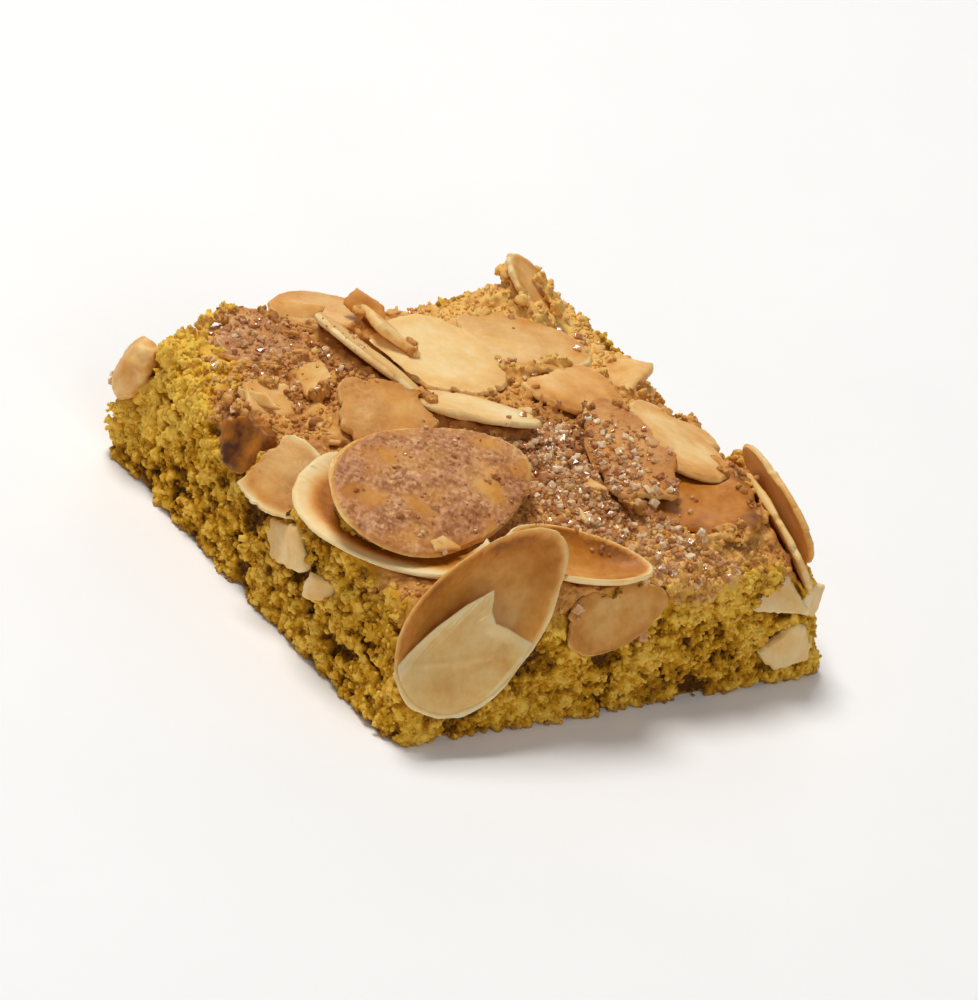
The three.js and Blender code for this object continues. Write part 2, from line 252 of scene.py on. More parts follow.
# Patches of painted light and shade on the crumb, lighter on the lumps at the bare corner and high
# on the side that faces +X, and darker low on that side: x, y, z, radius and how much prouder it is
# coloured
PAINTED_CRUMB_LIGHT = [
    (-19, -24, 12, 8, 0.45),
    (25, 9, 11, 5, 0.35),
    (25, 8, 1, 8, -0.2),
]

# Patches where the crust runs down over the edge: x, y, z and radius
SIDE_CRUST = [
    (25, 7, 14.6, 4.6),
    (25, -7, 13.5, 3.5),
    (-8, -25, 13.5, 3.5),
    (-3, 25, 12, 5),
    (-25, 5, 13, 4),
]

# Sugar crystals: x, y and radius of each patch, and how many fall there; few stay on bare almond
SUGAR_PATCHES = [
    (-15.5, -14, 8.5, 260),
    (6.5, 3, 7, 780),
    (15.5, 2, 7.5, 880),
    (10, 9, 6, 200),
    (9.5, -15, 8.5, 8),
    (-10, 12, 12, 60),
    (24, 2, 3, 60),
    (22.6, 7.6, 3.6, 130),
    (-10, -23, 2.5, 40),
    (0, 0, 26, 120),
]
SUGAR_RADIUS = (0.15, 0.45)
SUGAR_SHADE = (0, 1)  # from amber to cream
DUST_PATCHES = [
    (-15.5, -14, 9, 700),
    (6.5, 3, 8, 700),
    (15.5, 2, 8, 700),
    (9.5, -15, 8.5, 120),
]
DUST_RADIUS = (0.075, 0.175)
DUST_SHADE = (0, 0.6)
ON_BARE_ALMOND = 0.06
SUGAR_LEAST = (11, 0.35)

# Single large crystals: each one sits on the surface nearest to its place
LARGE_CRYSTALS = [
    (22.5, 3.1, 15), (11.2, 7.6, 17), (16.6, 10.1, 16), (13, -0.1, 16),
    (24, 1.2, 13.6), (25, 1, 8), (25, -7.7, 12.6), (25.2, -6.8, 12.2),
    (25.2, -7.3, 11.4), (25, -5.7, 8.3), (18.3, -18.9, 17), (-10.3, -23.5, 13),
    (-9.6, -23.9, 12.4), (24.6, 2.4, 13.4), (-26, -25.6, 7.8), (-25.6, -25.8, 7.2),
]
LARGE_CRYSTAL_RADIUS = (0.3, 0.55)
LARGE_CRYSTAL_SHADE = (0.4, 0.9)

# Baked crumbs that lie on the crust
CRUMB_PATCHES = [
    (-14, -16, 9, 90),
    (16.5, -19.4, 2.2, 20),
    (12, 4, 11, 120),
    (22, 8, 4, 60),
    (0, 0, 26, 350),
]
CRUMB_RADIUS = (0.2, 0.55)
CRUMB_LEAST = (10, 0.3)
CRUMB_BROWN = (0.05, 0.6)

# Camera: where it stands, which way is up in the picture, what it looks at, its lens and its sensor
CAMERA_PLACE = (403.3, -372.7, 323.1)
CAMERA_UP = (-0.509, 0.090, 0.856)
CAMERA_AIM = (1, 0, 7.5)
LENS = 245
SENSOR = 36

# Floor: half its side, and how far it lies under the biscuit
FLOOR_HALF = 2000
FLOOR_GAP = 0.02

# Light: how strong the pale surroundings are, and each soft lamp's name, its direction from the
# biscuit, its distance and width in metres, its power in watts, and its colour
WORLD_LIGHT = 0.22
LAMPS = [
    ("key", (-0.38, -0.12, 0.92), 0.8, 0.3, 4.7, (1, 0.98, 0.95)),
    ("front", (0.8, -0.3, 0.55), 0.9, 0.5, 1.3, (1, 1, 1)),
    ("sheen", (-0.70, 0.62, 0.45), 0.9, 0.5, 0.8, (1, 1, 1)),
]

rng = np.random.default_rng(SEED)


# Points, meshes and noise


def field(points, size, shift=0.0, octaves=1):
    """Smooth noise at each point, from about -1 to 1, with waves of about the given size."""
    return np.array([noise.fractal(p, 1, 2, octaves) for p in (points / size + shift).tolist()])


def fade(value, low, high):
    """0 at low, 1 at high and smooth between."""
    share = np.clip((value - low) / (high - low), 0, 1)
    return share * share * (3 - 2 * share)


def between(low_high, share):
    """The number at a share of the way from the first of two to the second."""
    low, high = low_high
    return low + (high - low) * share


def lengths(vectors):
    """The length of each row."""
    return np.linalg.norm(vectors, axis=-1)


def arrays_of(mesh):
    """Points, in millimetres, and triangles of a mesh."""
    points = np.empty(len(mesh.vertices) * 3)
    mesh.vertices.foreach_get("co", points)
    mesh.calc_loop_triangles()
    triangles = np.empty(len(mesh.loop_triangles) * 3, np.int32)
    mesh.loop_triangles.foreach_get("vertices", triangles)
    return points.reshape(-1, 3) / MM, triangles.reshape(-1, 3)


def mesh_of(name, points, faces):
    """A mesh from points in millimetres and faces with the same number of corners."""
    mesh = bpy.data.meshes.new(name)
    mesh.vertices.add(len(points))
    mesh.loops.add(faces.size)
    mesh.polygons.add(len(faces))
    mesh.vertices.foreach_set("co", np.ravel(points * MM))
    mesh.loops.foreach_set("vertex_index", faces.astype(np.int32).ravel())
    mesh.polygons.foreach_set("loop_start", np.arange(0, faces.size, faces.shape[1]))
    mesh.update(calc_edges=True)
    return mesh


def linked(name, data):
    """A new object in the scene."""
    obj = bpy.data.objects.new(name, data)
    bpy.context.scene.collection.objects.link(obj)
    return obj


def taken_from(shape):
    """Points and triangles of a bmesh, which is freed."""
    shape.verts.index_update()
    points = np.array([v.co for v in shape.verts])
    triangles = np.array([[v.index for v in f.verts] for f in shape.faces])
    shape.free()
    return points, triangles


def cad_arrays(node):
    """Points and triangles of a CAD node, with its doubled points merged."""
    shape = bmesh.new()
    shape.from_mesh(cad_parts[node].data)
    bmesh.ops.remove_doubles(shape, verts=shape.verts, dist=MERGE)
    points, triangles = taken_from(shape)
    return points / MM, triangles


def joined(bodies):
    """Several sets of points and triangles as one."""
    points, triangles = zip(*bodies)
    shifts = np.cumsum([0, *map(len, points)])
    return np.concatenate(points), np.concatenate([t + shift for t, shift in zip(triangles, shifts)])


def normals_of(points, triangles):
    """The direction that the surface faces at each point."""
    a, b, c = points[triangles.T]
    facing = np.cross(b - a, c - a)
    total = np.zeros_like(points)
    for corner in triangles.T:
        np.add.at(total, corner, facing)
    return total / np.maximum(lengths(total), 1e-12)[:, None]


def smoothed(points, triangles):
    """Points drawn halfway to the middle of their neighbours."""
    first, second = triangles.T.ravel(), np.roll(triangles, -1, axis=1).T.ravel()
    total = np.stack([np.bincount(first, column) for column in points[second].T], 1)
    return (points + total / np.bincount(first)[:, None]) / 2


def modified(points, triangles, kind, **settings):
    """Points and triangles after one modifier."""
    obj = linked(kind, mesh_of(kind, points, triangles))
    modifier = obj.modifiers.new(kind, kind)
    for label, value in settings.items():
        setattr(modifier, label, value)
    shape = obj.evaluated_get(bpy.context.evaluated_depsgraph_get())
    mesh = bpy.data.meshes.new_from_object(shape)
    arrays = arrays_of(mesh)
    bpy.data.meshes.remove(mesh)
    bpy.data.objects.remove(obj)
    return arrays


def skinned(points, triangles, voxel):
    """One closed skin round everything that the triangles enclose."""
    return modified(points, triangles, "REMESH", mode="VOXEL", voxel_size=voxel * MM)


def thinned(points, triangles, most):
    """The same surface with at most the given number of triangles."""
    return modified(points, triangles, "DECIMATE", ratio=min(1.0, most / len(triangles)))


def largest(points, triangles):
    """The largest connected part of a surface."""
    first, second = np.concatenate([triangles[:, :2], triangles[:, 1:]]).T
    part = np.arange(len(points))
    while True:
        lower = np.minimum(part[first], part[second])
        spread = part.copy()
        np.minimum.at(spread, first, lower)
        np.minimum.at(spread, second, lower)
        spread = spread[spread]
        if np.array_equal(spread, part):
            break
        part = spread
    kept = part[triangles[:, 0]] == np.bincount(part).argmax()
    used, corners = np.unique(triangles[kept], return_inverse=True)
    return points[used], corners.reshape(-1, 3)


def piece(name, points, faces, material, slot, smooth=True, **numbers):
    """A piece of the biscuit that rides on its one body, with numbers for each point."""
    mesh = mesh_of(name, points, faces)
    for label, values in numbers.items():
        mesh.attributes.new(label, "FLOAT", "POINT").data.foreach_set("value", np.ravel(values))
    mesh.materials.append(material)
    mesh.polygons.foreach_set("use_smooth", np.full(len(faces), smooth))
    obj = linked(name, mesh)
    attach(obj, "root")
    return obj


def scattered(points, triangles, count):
    """Random places on a surface, evenly by area, and the directions that it faces there."""
    a, b, c = points[triangles.T]
    facing = np.cross(b - a, c - a)
    area = lengths(facing)
    chosen = rng.choice(len(area), count, p=area / area.sum())
    u, v = rng.random((2, count, 1))
    beyond = u + v > 1
    u, v = np.where(beyond, 1 - u, u), np.where(beyond, 1 - v, v)
    places = a[chosen] + u * (b - a)[chosen] + v * (c - a)[chosen]
    return places, facing[chosen] / area[chosen, None]


def random_turns(count):
    """Random rotation matrices."""
    turns = rng.normal(size=(count, 4))
    w, x, y, z = (turns / lengths(turns)[:, None]).T
    rows = [
        [1 - 2 * (y * y + z * z), 2 * (x * y - w * z), 2 * (x * z + w * y)],
        [2 * (x * y + w * z), 1 - 2 * (x * x + z * z), 2 * (y * z - w * x)],
        [2 * (x * z - w * y), 2 * (y * z + w * x), 1 - 2 * (x * x + y * y)],
    ]
    return np.moveaxis(np.array(rows), 2, 0)


def many(shapes, faces, centres, scales):
    """Small shapes, each with its own place, a random turn, and scale along its three axes."""
    points = np.einsum("nij,npj->npi", random_turns(len(centres)), shapes * scales[:, None, :])
    points += centres[:, None, :]
    shifts = np.arange(len(centres))[:, None, None] * points.shape[1]
    return points.reshape(-1, 3), (faces + shifts).reshape(-1, faces.shape[1])


def ball(levels):
    """Points and triangles of a round ball of radius 1."""
    shape = bmesh.new()
    bmesh.ops.create_icosphere(shape, subdivisions=levels, radius=1)
    return taken_from(shape)


def lumpy(unit, count, jagged=0.1):
    """Copies of a ball, each swollen and dented in its own way."""
    waves = rng.normal(0, 2.2, (count, 3, 2))
    shifts = rng.uniform(0, math.tau, (count, 1, 2))
    radius = 1 + 0.2 * np.sin(unit @ waves + shifts).sum(-1)
    radius += jagged * rng.normal(size=radius.shape)
    return unit * radius[..., None]


def random_sizes(radii, count, bias, stretch):
    """Random radii, with more small ones the larger the bias, and scales along the three axes."""
    radius = between(radii, rng.random(count) ** bias)
    return radius, radius[:, None] * rng.uniform(*stretch, (count, 3))


def landed(tree, patches, least_height, least_slope):
    """Random places in round patches, seen from above on what carries them, what each place faces,
    and the number of the triangle there."""
    found = []
    for x, y, radius, count in patches:
        away = radius * np.sqrt(rng.random(count))
        angle = math.tau * rng.random(count)
        for dx, dy in zip(away * np.cos(angle), away * np.sin(angle)):
            place, normal, index, _ = tree.ray_cast((x + dx, y + dy, DROP), (0, 0, -1))
            if place and normal.z > least_slope and place.z > least_height:
                found.append((place, normal, index))
    return [np.array(column) for column in zip(*found)]


# Almond slices


def slice_turn(turn):
    """The matrix that turns a slice from flat to its heading, pitch and bank."""
    heading, pitch, bank = np.radians(turn)
    return np.array(Euler((bank, -pitch, heading), "XYZ").to_matrix())


def in_slice(points, shape):
    """Points in a slice's own frame: along its length, across it and above it."""
    return (points - shape["at"]) @ slice_turn(shape["turn"])


def from_slice(points, shape):
    """Points of a slice's own frame, in their places."""
    return points @ slice_turn(shape["turn"]).T + shape["at"]


def slice_reach(local, shape):
    """How far out in its outline a point of a slice lies, 1 at the rim, and the angle there."""
    length, width = shape["size"]
    along = 2 * local[:, 0] / length
    across = 2 * local[:, 1] / (width * (1 - TIP * np.clip(along, -1, 1)))
    return np.hypot(along, across), np.arctan2(across, along)


def inside_slices(points, shapes, margin, above=None):
    """Which points lie inside one of the slices, or within a margin of it, which may be another
    above it; a slice that says how far to keep clear of its rim has its own margin there."""
    inside = np.zeros(len(points), bool)
    for shape in shapes:
        local = in_slice(points, shape)
        reach = slice_reach(local, shape)[0]
        half = shape.get("thick", THICKNESS) / 2
        beside = reach < 1 + 2 * shape.get("clear", margin) / shape["size"][0]
        over = half + (margin if above is None else above)
        inside |= beside & (local[:, 2] > -half - margin) & (local[:, 2] < over)
    return inside


def covered(points, margin, above=None):
    """Which points lie within a margin of a large slice, or of the face of a bit."""
    bits = [dict(clear=BIT_CLEAR) | bit for bit in BITS + far_bits()]
    return inside_slices(points, FLAKES + bits, margin, above)


def far_bits():
    """Bits in the two sides that face -X and +Y, each with its own share of every range."""
    out = SIDE / 2 - FAR_BIT_SINK
    bits = []
    for i in range(2 * FAR_BITS):
        faces_x = i < FAR_BITS
        shares = [(5 * i + draw) * GOLDEN % 1 for draw in range(1, 6)]
        shift, height, length, swing, pitch = map(between, FAR_BIT_RANGES, shares)
        along = ((i % FAR_BITS + shift) / FAR_BITS - 0.5) * (SIDE - 2 * FAR_BIT_MARGIN)
        bits.append(dict(
            at=(-out, along, height) if faces_x else (along, out, height),
            turn=((-90 if faces_x else 180) + swing, pitch, FAR_BIT_BANK),
            size=(length, length * FAR_BIT_WIDTH),
            tone=0.15 + 0.4 * (i * GOLDEN % 1),
            lap=FAR_BIT_LAP,
        ))
    return bits


def coating(local, upper, shape, number):
    """How thick brown sugar coats each point of a slice, from 0 to 1."""
    patchy = np.clip(0.75 + field(local, 3.0, shift=number, octaves=2), 0, 1)
    return shape.get("glaze", 0) * upper * patchy


def streaks(local, number):
    """Long fine streaks along a slice."""
    return field(local * (0.25, 1.6, 0.2), 1.0, shift=number, octaves=2)


def make_flake(number, shape):
    """One large slice: its solid's form, rounded and roughened, with a tone for each point."""
    node = f"almond_flake_{number:02d}"
    points, triangles = cad_arrays(node)
    local, triangles = skinned(in_slice(points, shape), triangles, FLAKE_VOXEL)

    # Outline: the straight sides of the solid are rounded out, then chipped a little
    reach, angle = slice_reach(local, shape)
    step = math.tau / FLAKE_SIDES
    chord = math.cos(step / 2) / np.cos(angle % step - step / 2)
    outline = np.stack([3 * np.cos(angle), 3 * np.sin(angle), np.full_like(angle, 1.7 * number)], 1)
    chips = shape.get("chips", CHIPS)
    ragged = 0.2 * chips * field(outline, 0.35, octaves=3) + 0.02 * field(outline, 1.9)
    ragged -= chips * fade(field(outline, 1.3, shift=3, octaves=3), 0.15, 0.6)
    local[:, :2] *= (1 + fade(reach, 0.4, 1) * (1 / chord - 1 + ragged))[:, None]
    break_at = shape["size"][0] * (0.5 - shape.get("left", 1.1))
    broken = 1 - fade(local[:, 0] - break_at, 0.3, 2.0)
    local[:, 0] += broken * 0.6 * field(local * (0, 1, 0), 1.3, shift=2.3 * number, octaves=3)
    local = smoothed(local, triangles)

    # Faces: long fine ridges, a slight wave, and brown sugar with its pits
    facing = normals_of(local, triangles)
    upper = fade(facing[:, 2], 0.3, 0.7)
    lift = FLAKE_RIDGES * streaks(local, number) - FLAKE_WORN
    lift += FLAKE_WAVE * field(local, 4.0, shift=3 * number)
    fine, broad = COAT_BUMPS
    sugary = fine * field(local, 0.5, shift=number, octaves=3) + broad * field(local, 2.5, shift=number)
    lift += coating(local, upper, shape, number) * sugary
    local += facing * (lift * np.abs(facing[:, 2]))[:, None]
    local, triangles = thinned(local, triangles, shape.get("fine", FLAKE_TRIANGLES))

    # Tone: the rim is paler than the face, partly as painted highlight, and the face is browned in
    # clouds, more at one end, with painted shade towards the rim and on one side
    facing = normals_of(local, triangles)
    upper = fade(facing[:, 2], 0.3, 0.7)
    reach, _ = slice_reach(local, shape)
    clouds = field(local, 4.5, shift=7 * number, octaves=3)
    band = fade(reach, *shape.get("band", BAND))
    edge = np.maximum(band, 1 - fade(np.abs(facing[:, 2]), 0.3, 0.6))
    tone = shape["tone"] + shape.get("clouds", CLOUDS) * clouds + STREAK_TONE * streaks(local, number)
    # Painted shade towards the rim
    tone += OUTER_SHADE * fade(reach, 0.55, 0.85)
    tone += END_TONE * math.sin(2 * number) * local[:, 0] / shape["size"][0]
    # Painted shade on one side of the face
    tone += shape.get("side_shade", 0) * 2 * local[:, 1] / shape["size"][1]
    # The paler rim is partly the slice's own colour and partly painted highlight
    tone -= edge * shape.get("rim", RIM)
    obj = piece(
        node + "_slice", from_slice(local, shape), triangles, almond, "almond",
        tone=np.clip(tone, 0, 1), glaze=coating(local, upper, shape, number) * (1 - edge),
    )
    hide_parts(node)
    return obj


def make_film(shape, flake):
    """The torn skin over the hollow of a slice: a thin sheet with a curled edge."""
    points, triangles = arrays_of(flake.data)
    tree = BVHTree.FromPolygons(in_slice(points, shape).tolist(), triangles.tolist())
    length, width = shape["size"]
    rows, columns = FILM_GRID

    def outline(across):
        """Where a line along the slice enters the skin and leaves it."""
        line = np.linspace(-length / 2, length / 2, 1000)
        local = np.stack([line, np.full_like(line, across), np.zeros_like(line)], 1)
        within = line[slice_reach(local, shape)[0] < FILM_REACH]
        wobble = 0.12 * noise.fractal((across / 0.8, 5, 0), 1, 2, 3)
        torn = np.interp(across + wobble, FILM_EDGE_ACROSS, FILM_EDGE_ALONG)
        return (within[0], min(torn, within[-1])) if len(within) else (0, 0)

    lines = [(across, *outline(across)) for across in np.linspace(-width / 2, width / 2, 1000)]
    skin = [across for across, first, last in lines if last - first > 0.3]
    lines = np.array([(a, *outline(a)) for a in np.linspace(skin[0], skin[-1], rows)])
    across, first, last = (column[:, None] for column in lines.T)
    along = between((first, last), np.linspace(0, 1, columns))
    local = np.stack([along, across + 0 * along, 0 * along], 2).reshape(-1, 3)

    # Height: on the slice near its rim, level over its hollow, and up at the torn edge
    reach, _ = slice_reach(local, shape)
    found = [tree.ray_cast((*place, length), (0, 0, -1))[0] for place in local[:, :2].tolist()]
    floor = np.array([place.z if place else FILM_LEVEL for place in found])
    slant = np.gradient(last[:, 0]) / np.gradient(across[:, 0])
    inward = ((last - along) / np.hypot(1, slant)[:, None]).ravel()
    from_crease = local[:, 1] - np.interp(local[:, 0], CREASE_ALONG, CREASE_ACROSS)
    height = FILM_LEVEL + FILM_CURL * fade(inward, 1.4, 0) + 0.16 * np.exp(-((from_crease / 0.5) ** 2))
    height += 0.1 * field(local, 2.5, shift=8)
    local[:, 2] = np.logaddexp(5 * (floor + 0.1), 5 * height) / 5
    local[:, 2] -= 0.3 * fade(reach, FILM_REACH - 0.03, FILM_REACH)
    thickness = between(FILM_THICKNESS, fade(inward, 0.2, 1.2))

    # Faces: the upper side, the lower side, and the border between them
    grid = np.arange(rows * columns).reshape(rows, columns)
    upper = np.stack([grid[:-1, :-1], grid[1:, :-1], grid[1:, 1:], grid[:-1, 1:]], 2).reshape(-1, 4)
    border = np.concatenate([grid[0, :-1], grid[:-1, -1], grid[-1, :0:-1], grid[:0:-1, 0]])
    after = np.roll(border, -1)
    lower = upper[:, ::-1] + grid.size
    wall = np.stack([border, after, after + grid.size, border + grid.size], 1)
    points = np.concatenate([local, local - thickness[:, None] * (0, 0, 1)])
    # Paler towards the torn edge, partly as painted light where the curled edge catches the lamp
    torn_edge = np.tile(1 - fade(inward, 0.2, 3.0), 2)
    tone = FILM_TONE + 0.1 * field(points, 3.0, shift=2, octaves=2) - 0.2 * torn_edge
    piece(
        "torn_skin", from_slice(points, shape), np.concatenate([upper, lower, wall]), almond, "almond",
        tone=np.clip(tone, 0, 1), glaze=np.zeros(len(points)),
    )


def broken_slab(length, width, thick, number):
    """A thin slab with a few straight broken edges and blunt corners."""
    count = 7
    half = thick / 2
    steps = np.arange(count)
    angles = (steps + 0.5 * np.sin(2.4 * steps + 1.3 * number)) * math.tau / count
    outline = np.stack([np.cos(angles) * length / 2, np.sin(angles) * width / 2], 1)
    outline *= (1.05 + 0.2 * np.sin(5.1 * steps + 2 * number))[:, None]
    rings = [(0.9, -half), (1, -0.6 * half), (1, 0.6 * half), (0.9, half)]
    points = [np.column_stack([outline * share, np.full(count, height)]) for share, height in rings]
    points += [[(0, 0, -half)], [(0, 0, half)]]
    faces = []
    for i in range(count):
        j = (i + 1) % count
        for ring in range(3):
            low, high = ring * count, (ring + 1) * count
            faces += [(low + i, low + j, high + j), (low + i, high + j, high + i)]
        faces += [(4 * count, j, i), (4 * count + 1, 3 * count + i, 3 * count + j)]
    return np.concatenate(points), np.array(faces)


def rounded_chunk(length, width, thick):
    """A box that is rounded all over."""
    unit, triangles = ball(4)
    boxy = np.sign(unit) * np.abs(unit) ** ROUNDED_POWER
    return boxy * (length / 2, width / 2, thick / 2), triangles


def make_broken(name, shapes, most):
    """Small broken bits of almond as one piece, each with at most the given number of triangles."""
    bodies, tones = [], []
    for number, shape in enumerate(shapes):
        body = (*shape["size"], shape.get("thick", THICKNESS))
        solid = rounded_chunk(*body) if shape.get("rounded") else broken_slab(*body, number)
        local, triangles = skinned(*solid, BIT_VOXEL)
        local = smoothed(local, triangles)
        angle = np.arctan2(local[:, 1], local[:, 0])
        outline = np.stack([np.cos(angle), np.sin(angle), np.full_like(angle, 1.7 * number)], 1)
        local[:, :2] *= (1 + BIT_RAGGED * field(outline, 0.3, octaves=4))[:, None]
        facing = normals_of(local, triangles)
        lumps = shape.get("lumps", BIT_LUMPS) * between((1.2, 0.3), fade(np.abs(facing[:, 2]), 0.4, 0.8))
        local += facing * (lumps * field(local, 1.1, shift=number, octaves=4))[:, None]
        local[:, 2] += 0.25 * field(local, 4.0, shift=2 * number)
        local, triangles = thinned(local, triangles, most)
        bodies.append((from_slice(local, shape), triangles))
        edge = 1 - fade(np.abs(normals_of(local, triangles)[:, 2]), 0.35, 0.75)
        tone = shape["tone"] + 0.16 * field(local, 2.0, shift=number, octaves=2) - 0.08 * edge
        tones.append(np.clip(tone, 0, 1))
    tone = np.concatenate(tones)
    return piece(name, *joined(bodies), almond, "almond", tone=tone, glaze=np.zeros(len(tone)))


def make_slivers(tree, dough_faces):
    """Slivers of almond that lie about on the top, and more that are scattered on the dough there."""
    shapes = []
    least_height, least_slope = SLIVER_LEAST

    def lay(x, y, heading, bank, length, width, tone, carrying_faces):
        place, normal, index, _ = tree.ray_cast((x, y, DROP), (0, 0, -1))
        if place and place.z > least_height and normal.z > least_slope and index < carrying_faces:
            shapes.append(dict(
                at=np.array(place) + (0, 0, 0.1),
                turn=(heading, rng.normal(0, SLIVER_PITCH), bank),
                size=(length, width),
                thick=SLIVER_THICKNESS,
                tone=tone,
            ))

    for row in SLIVERS:
        lay(*row, math.inf)
    for _ in range(MORE_SLIVERS):
        x, y = rng.uniform(-0.47, 0.47, 2) * SIDE
        length = between(SLIVER_LENGTH, rng.random() ** 1.5)
        width = length * rng.uniform(*SLIVER_WIDTH)
        heading, bank, tone = rng.uniform(0, 360), rng.normal(0, SLIVER_BANK), rng.uniform(*SLIVER_TONE)
        lay(x, y, heading, bank, length, width, tone, dough_faces)
    make_broken("almond_slivers", shapes, SLIVER_TRIANGLES)


# Dough


def clumps(places, facing, radii):
    """Lumpy clumps at places on a surface, most of them small, partly sunk in it."""
    unit, faces = ball(2)
    radius, scales = random_sizes(radii, len(places), *CLUMP_SIZES)
    sunk = radius * rng.uniform(*CLUMP_SUNK, len(places))
    return many(lumpy(unit, len(places)), faces, places - facing * sunk[:, None], scales)


def rim_places():
    """Places where the dough laps over the rims of slices and bits, in tongues."""
    places = []
    for number, shape in enumerate(FLAKES + BITS + far_bits()):
        lap = shape.get("lap", LAP)
        count = int(RIM_CLUMPS * lap)
        if count:
            angle = rng.uniform(0, math.tau, count)
            inward = rng.random(count)
            length, width = np.outer(shape["size"], RIM_CLUMP_REACH - lap * inward)
            along = np.cos(angle) * length / 2
            across = np.sin(angle) * width / 2 * (1 - TIP * np.cos(angle))
            rise = RIM_CLUMP_RISE * fade(lap * inward, 0.03, 0.1)
            local = np.stack([along, across, rng.uniform(*RIM_CLUMP_HEIGHT, count) + rise], 1)
            tongues = field(local, 3.5, shift=number, octaves=2) > 0.7 * inward - 0.35
            lapped = from_slice(local[tongues], shape)
            places.append(lapped[lapped[:, 2] < shape.get("foot", math.inf)])
    places = np.concatenate(places)
    return places[np.abs(places[:, :2]).max(1) < SIDE / 2 + 0.3]


def dough_numbers(points, tree):
    """For the material at each point: how proud of the solid it stands, which gives the crumb painted
    shade in its gaps and painted light on its clumps, whether it is crumb or baked crust, how brown
    the crust is, and whether it is the skin of the base."""
    found = [tree.find_nearest(p) for p in points.tolist()]
    nearest = np.array([f[0] for f in found])
    outward = np.array([f[1] for f in found])
    x, y, height = points.T
    proud = np.einsum("ij,ij->i", points - nearest, outward)
    ragged = field(points, 2.2, shift=9, octaves=4)
    inset = SIDE / 2 - np.maximum(np.abs(x), np.abs(y))
    crust = fade(inset + ragged, 0.5, 2.0) * fade(height + ragged, 9.5, 12)
    for *centre, radius in SIDE_CRUST:
        away = lengths(points - centre) / radius + 0.5 * ragged
        crust = np.maximum(crust, 1 - fade(away, 0.7, 1.0))
    bare_x, bare_y, bare_radius = BARE_PATCH
    from_bare = np.hypot(x - bare_x, y - bare_y) / bare_radius
    crust *= fade(from_bare + 0.4 * ragged, 0.8, 1.1)
    # Painted light and shade in patches
    for *centre, radius, more in PAINTED_CRUMB_LIGHT:
        proud += more * fade(lengths(points - centre) / radius, 1.0, 0.5)
    weight = np.full(len(points), 0.35)
    brown = weight * TOP_BROWN
    for patch_x, patch_y, radius, level in TOP_PATCHES:
        near = np.exp(-2 * ((x - patch_x) ** 2 + (y - patch_y) ** 2) / radius**2)
        weight += near
        brown += near * level
    brown = brown / weight + 0.25 * field(points, 3.0, shift=6, octaves=2)
    skin = 1 - fade(height + 0.2 * ragged, 0.15, BASE_SKIN)
    return dict(proud=proud, crust=crust, brown=np.clip(brown, 0, 1), skin=skin)


def make_dough():
    """The dough: its solid's form under coarse crumb at the sides and a baked crust on top."""
    points, triangles = cad_arrays("biscuit_dough")
    facing = normals_of(points, triangles)
    tree = BVHTree.FromPolygons(points.tolist(), triangles.tolist())

    # Core: the solid drawn in, so that the gaps between the clumps are deep
    base = points[:, 2] < BASE_TOP
    free = ~inside_slices(points, FLAKES, CORE_CLEAR) & ~base
    sink = np.where(np.abs(facing[:, 2]) < SIDE_SLOPE, CORE_SINK, TOP_SINK) * free
    core = points - facing * sink[:, None]
    core[base, :2] *= 1 - 2 * CORE_SINK / SIDE
    for bit in BITS + far_bits():
        inside = inside_slices(points, [bit], BIT_CLEAR)
        core[inside] = from_slice(BIT_CORE * in_slice(core[inside], bit), bit)
    bodies = [(core, triangles)]

    # Clumps: dense at the sides, apart from crevices, and finer on the top
    places, outward = scattered(points, triangles, 2 * SIDE_CLUMPS)
    side = (np.abs(outward[:, 2]) < SIDE_SLOPE) & (places[:, 2] > LOWEST_CRUMB)
    side &= ~covered(places, SIDE_CLEAR)
    side &= field(places / CREVICE_SIZE, 1.0, shift=4, octaves=2) > CREVICE_LEVEL
    bodies.append(clumps(places[side], outward[side], SIDE_CLUMP_RADIUS))
    places, outward = scattered(points, triangles, 3 * TOP_CLUMPS)
    top = (outward[:, 2] > TOP_SLOPE) & ~covered(places, TOP_CLEAR)
    bodies.append(clumps(places[top], outward[top], TOP_CLUMP_RADIUS))
    places = rim_places()
    bodies.append(clumps(places, np.zeros_like(places), RIM_CLUMP_RADIUS))
    for start, end, spread, count in FILLS:
        places = between((np.array(start), np.array(end)), rng.random((count, 1)))
        places = places + rng.normal(0, spread, places.shape)
        places = places[~covered(places, FILL_CLEAR)]
        bodies.append(clumps(places, np.zeros_like(places), FILL_RADIUS))
    points, triangles = largest(*skinned(*joined(bodies), DOUGH_VOXEL))

    # Fine crumb on the skin, blisters on the crust, and a flat base
    facing = normals_of(points, triangles)
    lift = CRUMB_LIFT * field(points, 0.7, shift=2, octaves=3)
    lift += BLISTER_LIFT * field(points, 2.0, shift=5, octaves=3) * fade(facing[:, 2], 0.5, 0.9)
    points += facing * (lift * fade(points[:, 2], 0.05, 0.5))[:, None]
    points[:, 2] = np.maximum(points[:, 2], 0)
    surface = thinned(points, triangles, DOUGH_TRIANGLES)
    obj = piece("dough_crumb", *surface, dough, "dough", **dough_numbers(surface[0], tree))
    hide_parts("biscuit_dough")
    make_grains("crumb_grains", surface, CRUMB_GRAINS, CRUMB_GRAIN_RADIUS, tree, on_crust=False)
    make_grains("crust_grains", surface, CRUST_GRAINS, CRUST_GRAIN_RADIUS, tree, on_crust=True)
    return obj


